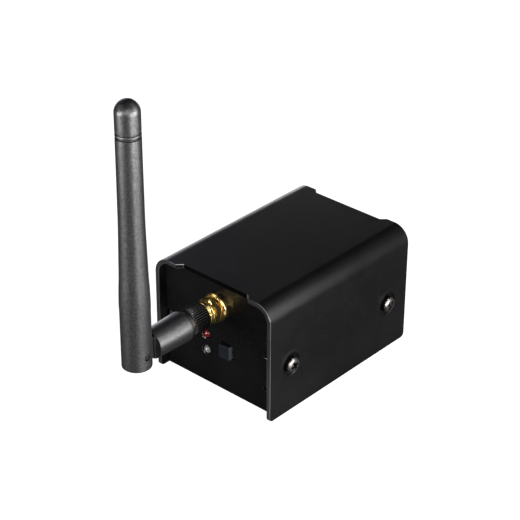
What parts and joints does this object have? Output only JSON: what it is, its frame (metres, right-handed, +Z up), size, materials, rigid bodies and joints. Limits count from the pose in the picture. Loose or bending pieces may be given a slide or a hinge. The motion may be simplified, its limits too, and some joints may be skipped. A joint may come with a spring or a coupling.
{
  "type": "bluetooth audio receiver",
  "caption": "Small black steel box that receives wireless audio, with a hinged screw-on antenna, a push button, indicator lights and jack outputs.",
  "frame": {"origin": "on the surface it stands on, under the middle of the whole object's bounding box, on the case's centre plane", "axes": "+Z up, the front panel with the antenna faces -Y, the rear panel with the jacks faces +Y, +X to the right seen from the front"},
  "size_m": [0.0534, 0.1092, 0.117],
  "materials": {
    "powder_coat": "satin black powder coat, very fine texture",
    "black_oxide": "black oxide, semi-gloss",
    "zinc_steel": "bright zinc",
    "gold_plate": "bright gold plate",
    "ptfe": "white, waxy",
    "antenna_plastic": "charcoal, fine moulded grain",
    "knuckle_plastic": "charcoal, satin",
    "coupling_plastic": "black, ribbed",
    "antenna_brass": "bare brass",
    "coax_jacket": "smooth black jacket",
    "pcb_laminate": "green solder mask",
    "module_laminate": "blue solder mask",
    "shield_steel": "tinned sheet",
    "black_plastic": "moulded black",
    "button_plastic": "black, satin gloss",
    "led_red_lens": "clear tinted epoxy",
    "led_clear_lens": "water-clear epoxy",
    "capacitor_sleeve": "shrink sleeve",
    "nickel_plate": "nickel plate"
  },
  "bodies": {
    "case": {"chassis": "powder_coat", "top_cover": "powder_coat", "rf_pigtail_coax": "coax_jacket", "sma_jack_body": "gold_plate", "cover_screw_right_front": "black_oxide", "cover_screw_right_rear": "black_oxide", "cover_screw_left_front": "black_oxide", "cover_screw_left_rear": "black_oxide", "output_jack_right": "black_plastic", "output_jack_left": "black_plastic", "main_pcb": "pcb_laminate", "power_socket_shell": "shield_steel", "output_jack_nut_right": "nickel_plate", "output_jack_nut_left": "nickel_plate", "sma_flat_washer": "gold_plate", "sma_panel_nut": "gold_plate", "sma_lock_washer": "gold_plate", "output_jack_washer_right": "nickel_plate", "output_jack_washer_left": "nickel_plate", "led_red": "led_red_lens", "led_clear": "led_clear_lens", "crystal_can": "shield_steel", "clinch_nut_right_front": "zinc_steel", "clinch_nut_right_rear": "zinc_steel", "clinch_nut_left_front": "zinc_steel", "clinch_nut_left_rear": "zinc_steel", "pcb_screw_front_left": "zinc_steel", "pcb_screw_front_right": "zinc_steel", "pcb_screw_middle_left": "zinc_steel", "pcb_screw_middle_right": "zinc_steel", "pcb_standoff_front_left": "zinc_steel", "pcb_standoff_front_right": "zinc_steel", "pcb_standoff_middle_left": "zinc_steel", "pcb_standoff_middle_right": "zinc_steel", "sma_dielectric": "ptfe", "push_switch_body": "black_plastic", "filter_capacitor": "capacitor_sleeve", "switch_snap_dome": "zinc_steel", "rf_plug": "gold_plate", "sma_center_contact": "gold_plate", "bluetooth_shield_can": "shield_steel", "led_holder": "black_plastic", "bluetooth_module_board": "module_laminate", "converter_chip": "black_plastic", "voltage_regulator": "black_plastic", "power_socket_tongue": "black_plastic"},
    "push_button": {"push_button_cap": "button_plastic", "switch_plunger": "button_plastic"},
    "coupling_nut": {"antenna_coupling_ring": "coupling_plastic", "antenna_coupling_collar": "gold_plate"},
    "knuckle": {"antenna_knuckle": "knuckle_plastic", "antenna_plug_ferrule": "gold_plate", "antenna_plug_pin": "gold_plate"},
    "whip": {"antenna_hinge_housing": "antenna_plastic", "antenna_hinge_pin": "zinc_steel", "antenna_whip_sleeve": "antenna_plastic", "antenna_tip_cap": "antenna_plastic", "antenna_coax": "coax_jacket", "antenna_radiator": "antenna_brass"}
  },
  "joints": [
    {"name": "button_press", "type": "slide", "parent": "case", "child": "push_button", "axis": [0, 1, 0], "range_m": [0, 0.001], "stiffness_N_per_m": 400, "springref_m": -0.001},
    {"name": "coupling_nut_turn", "type": "hinge", "parent": "case", "child": "coupling_nut", "pos_m": [0, -0.0229, 0.0322], "axis": [0, 1, 0], "continuous": true},
    {"name": "antenna_swivel", "type": "hinge", "parent": "case", "child": "knuckle", "pos_m": [0, -0.0344, 0.0322], "axis": [0, 1, 0], "continuous": true},
    {"name": "antenna_tilt", "type": "hinge", "parent": "knuckle", "child": "whip", "pos_m": [0, -0.04975, 0.0322], "axis": [1, 0, 0], "range_deg": [0, 90]}
  ]
}
